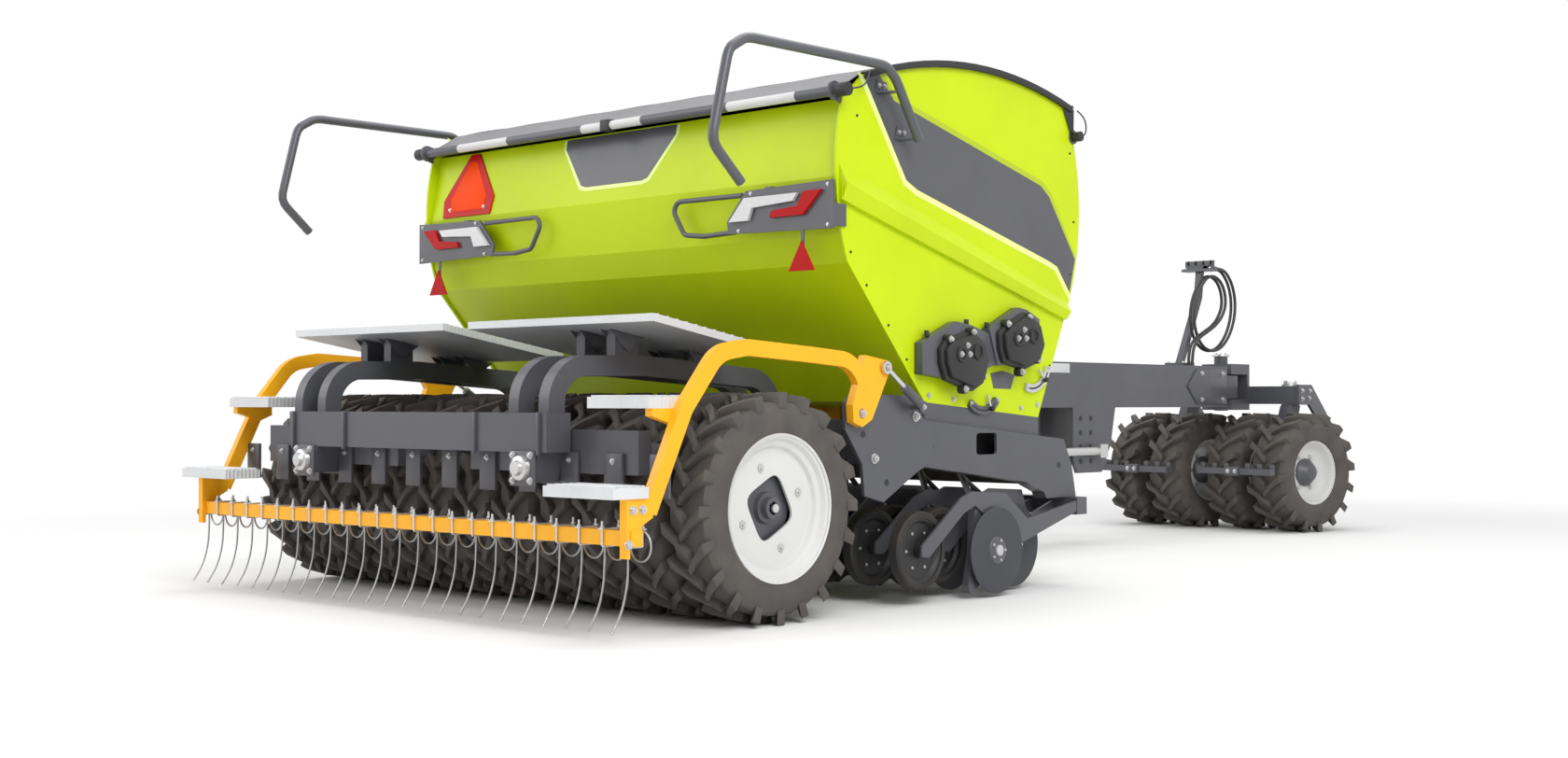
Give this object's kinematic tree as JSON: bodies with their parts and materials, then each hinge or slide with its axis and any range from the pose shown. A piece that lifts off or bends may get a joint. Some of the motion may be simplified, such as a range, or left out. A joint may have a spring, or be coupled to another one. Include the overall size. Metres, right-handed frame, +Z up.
{
  "type": "trailed seed drill",
  "caption": "Rigid trailed seed drill with a covered hopper, disc coulters, a rear tyre packer, a trailing tine harrow and a steered front packer on a long drawbar.",
  "frame": {"origin": "on the ground under the middle of the machine's overall box", "axes": "+Y forward towards the tractor, +X to the machine's right, +Z up"},
  "size_m": [2.997, 7.67, 2.3389],
  "materials": {
    "lime_paint": "gloss lime paint",
    "grey_paint": "satin dark grey paint",
    "yellow_paint": "gloss yellow paint",
    "white_paint": "white painted rims",
    "tyre": "dark worn rubber",
    "galvanised": "galvanised tread plate",
    "steel": "bare spring steel",
    "disc_steel": "ground disc steel",
    "press_rubber": "matt black rubber",
    "black_plastic": "grained black plastic",
    "tarp": "woven black tarpaulin",
    "flap": "grey tarpaulin",
    "lamp_red": "red lamp lens",
    "lamp_white": "white lamp lens",
    "sign_orange": "fluorescent orange with a red border",
    "seed_tube": "dark ribbed plastic",
    "hose": "black hydraulic hose"
  },
  "bodies": {
    "chassis": {"axle_legs": "grey_paint", "coulter_arms": "grey_paint", "coulter_bar": "grey_paint", "cover_roll_tube": "galvanised", "cross_beams": "grey_paint", "depth_cylinders": "steel", "drawbar": "grey_paint", "drawbar_leg": "grey_paint", "drawbar_stay": "grey_paint", "gearbox_brackets": "grey_paint", "gearbox_covers": "black_plastic", "handrails": "grey_paint", "hopper_cover": "tarp", "hopper_end_left": "lime_paint", "hopper_end_right": "lime_paint", "hopper_front_wall": "lime_paint", "hopper_rear_wall": "lime_paint", "hopper_trough": "lime_paint", "hose_left": "hose", "hose_mast": "grey_paint", "hose_right": "hose", "light_panels": "grey_paint", "marker_lamps": "lamp_white", "meter_housings": "yellow_paint", "packer_arches": "grey_paint", "packer_arms": "grey_paint", "packer_beam": "grey_paint", "packer_pivots": "grey_paint", "platforms": "galvanised", "rear_flap": "flap", "reflectors": "lamp_red", "rocker_beams": "grey_paint", "roll_tube_brackets": "grey_paint", "seed_tubes": "seed_tube", "side_frames": "grey_paint", "tail_lamps": "lamp_red", "vehicle_sign": "sign_orange"},
    "rear_gang_left": {"rear_tyres_left": "tyre", "rear_rims_left": "white_paint"},
    "rear_gang_right": {"rear_tyres_right": "tyre", "rear_rims_right": "white_paint"},
    "hitch": {"hitch_yoke": "grey_paint", "hitch_beam": "grey_paint", "hitch_plates": "grey_paint"},
    "castor_left": {"castor_leg_left": "grey_paint"},
    "castor_right": {"castor_leg_right": "grey_paint"},
    "front_pair_left": {"front_tyres_left": "tyre", "front_rims_left": "white_paint"},
    "front_pair_right": {"front_tyres_right": "tyre", "front_rims_right": "white_paint"},
    "harrow": {"harrow_arms": "yellow_paint", "harrow_beam": "yellow_paint", "harrow_steps": "galvanised", "harrow_tines": "steel"},
    "lift_barrels": {"harrow_barrels": "grey_paint"},
    "lift_rods": {"harrow_rods": "steel"},
    "front_discs": {"discs_front": "disc_steel"},
    "rear_discs": {"discs_rear": "disc_steel"},
    "front_press_wheels": {"press_wheels_front": "press_rubber"},
    "rear_press_wheels": {"press_wheels_rear": "press_rubber"}
  },
  "joints": [
    {"name": "rear_gang_left_spin", "type": "hinge", "parent": "chassis", "child": "rear_gang_left", "pos_m": [-0.75, -2.985, 0.445], "axis": [1, 0, 0], "continuous": true},
    {"name": "rear_gang_right_spin", "type": "hinge", "parent": "chassis", "child": "rear_gang_right", "pos_m": [0.75, -2.985, 0.445], "axis": [1, 0, 0], "continuous": true},
    {"name": "kingpin_swivel", "type": "hinge", "parent": "chassis", "child": "hitch", "pos_m": [0, 2.985, 1], "axis": [0, 0, 1], "range_deg": [-60, 60]},
    {"name": "castor_right_steer", "type": "hinge", "parent": "hitch", "child": "castor_right", "pos_m": [0.38, 3.235, 0.9], "axis": [0, 0, 1], "range_deg": [-13, 37]},
    {"name": "castor_left_steer", "type": "hinge", "parent": "hitch", "child": "castor_left", "pos_m": [-0.38, 3.235, 0.9], "axis": [0, 0, 1], "range_deg": [-13, 37]},
    {"name": "front_pair_right_spin", "type": "hinge", "parent": "castor_right", "child": "front_pair_right", "pos_m": [0.35297, 3.10784, 0.39], "axis": [0.9781, -0.2079, 0], "continuous": true},
    {"name": "front_pair_left_spin", "type": "hinge", "parent": "castor_left", "child": "front_pair_left", "pos_m": [-0.40703, 3.10784, 0.39], "axis": [0.9781, -0.2079, 0], "continuous": true},
    {"name": "harrow_lift", "type": "hinge", "parent": "chassis", "child": "harrow", "pos_m": [0, -2.485, 0.805], "axis": [-1, 0, 0], "range_deg": [0, 16]},
    {"name": "lift_barrels_turn", "type": "hinge", "parent": "chassis", "child": "lift_barrels", "pos_m": [0, -2.115, 0.83], "axis": [1, 0, 0], "range_deg": [0, 2.7]},
    {"name": "lift_rods_slide", "type": "slide", "parent": "lift_barrels", "child": "lift_rods", "axis": [0, -0.825, 0.5652], "range_m": [-0.063, 0]},
    {"name": "front_discs_spin", "type": "hinge", "parent": "chassis", "child": "front_discs", "pos_m": [0, -1.296, 0.204], "axis": [1, 0, 0], "continuous": true},
    {"name": "rear_discs_spin", "type": "hinge", "parent": "chassis", "child": "rear_discs", "pos_m": [0, -1.596, 0.204], "axis": [1, 0, 0], "continuous": true},
    {"name": "front_press_wheels_spin", "type": "hinge", "parent": "chassis", "child": "front_press_wheels", "pos_m": [0, -1.778, 0.229], "axis": [1, 0, 0], "continuous": true},
    {"name": "rear_press_wheels_spin", "type": "hinge", "parent": "chassis", "child": "rear_press_wheels", "pos_m": [0, -2.078, 0.229], "axis": [1, 0, 0], "continuous": true}
  ],
  "couplings": [
    {"joint": "castor_left_steer", "follows": "castor_right_steer", "ratio": 1},
    {"joint": "lift_barrels_turn", "follows": "harrow_lift", "ratio": 0.169},
    {"joint": "lift_rods_slide", "follows": "harrow_lift", "m_per_rad": -0.2256}
  ]
}
